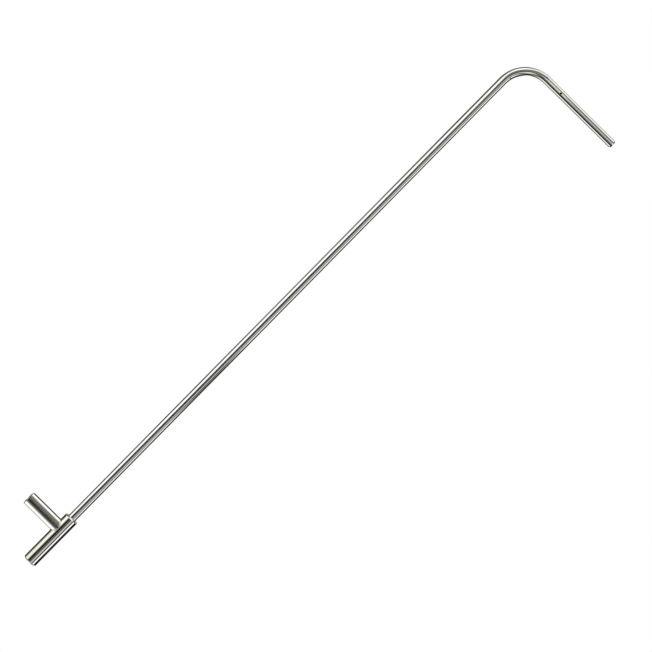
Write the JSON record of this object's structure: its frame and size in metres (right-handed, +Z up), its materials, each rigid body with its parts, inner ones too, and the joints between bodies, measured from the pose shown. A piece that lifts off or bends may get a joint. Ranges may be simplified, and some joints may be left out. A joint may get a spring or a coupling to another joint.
{
  "type": "cane bolt",
  "caption": "Polished steel cane bolt: a round bar with a bent handle that slides and turns in a pipe guide welded square to a mounting stub.",
  "frame": {"origin": "centre of the mounting stub's far end, the end that is fastened to the gate", "axes": "+Z up along the bar, from its tip to its bend; +X from the stub's far end to the bar, and on to the handle at rest; +Y completes the right-handed frame and is square to the plane of the stub, the bar and the handle"},
  "size_m": [0.238, 0.0214, 1],
  "materials": {
    "guide_steel": "polished, with fine turning lines",
    "stub_steel": "polished, with fine turning lines",
    "weld_steel": "polished weld, lightly rippled",
    "bar_steel": "polished, with fine drawn lines"
  },
  "bodies": {
    "guide": {"guide_sleeve": "guide_steel", "mounting_stub": "stub_steel", "weld_bead": "weld_steel"},
    "shank": {"bar_shank": "bar_steel"},
    "cane": {"cane_handle": "bar_steel"}
  },
  "joints": [
    {"name": "bar_slide", "type": "slide", "parent": "guide", "child": "shank", "axis": [0, 0, -1], "range_m": [-0.06, 0.86]},
    {"name": "bar_turn", "type": "hinge", "parent": "shank", "child": "cane", "pos_m": [0.064, 0, 0.8], "axis": [0, 0, 1], "continuous": true}
  ]
}
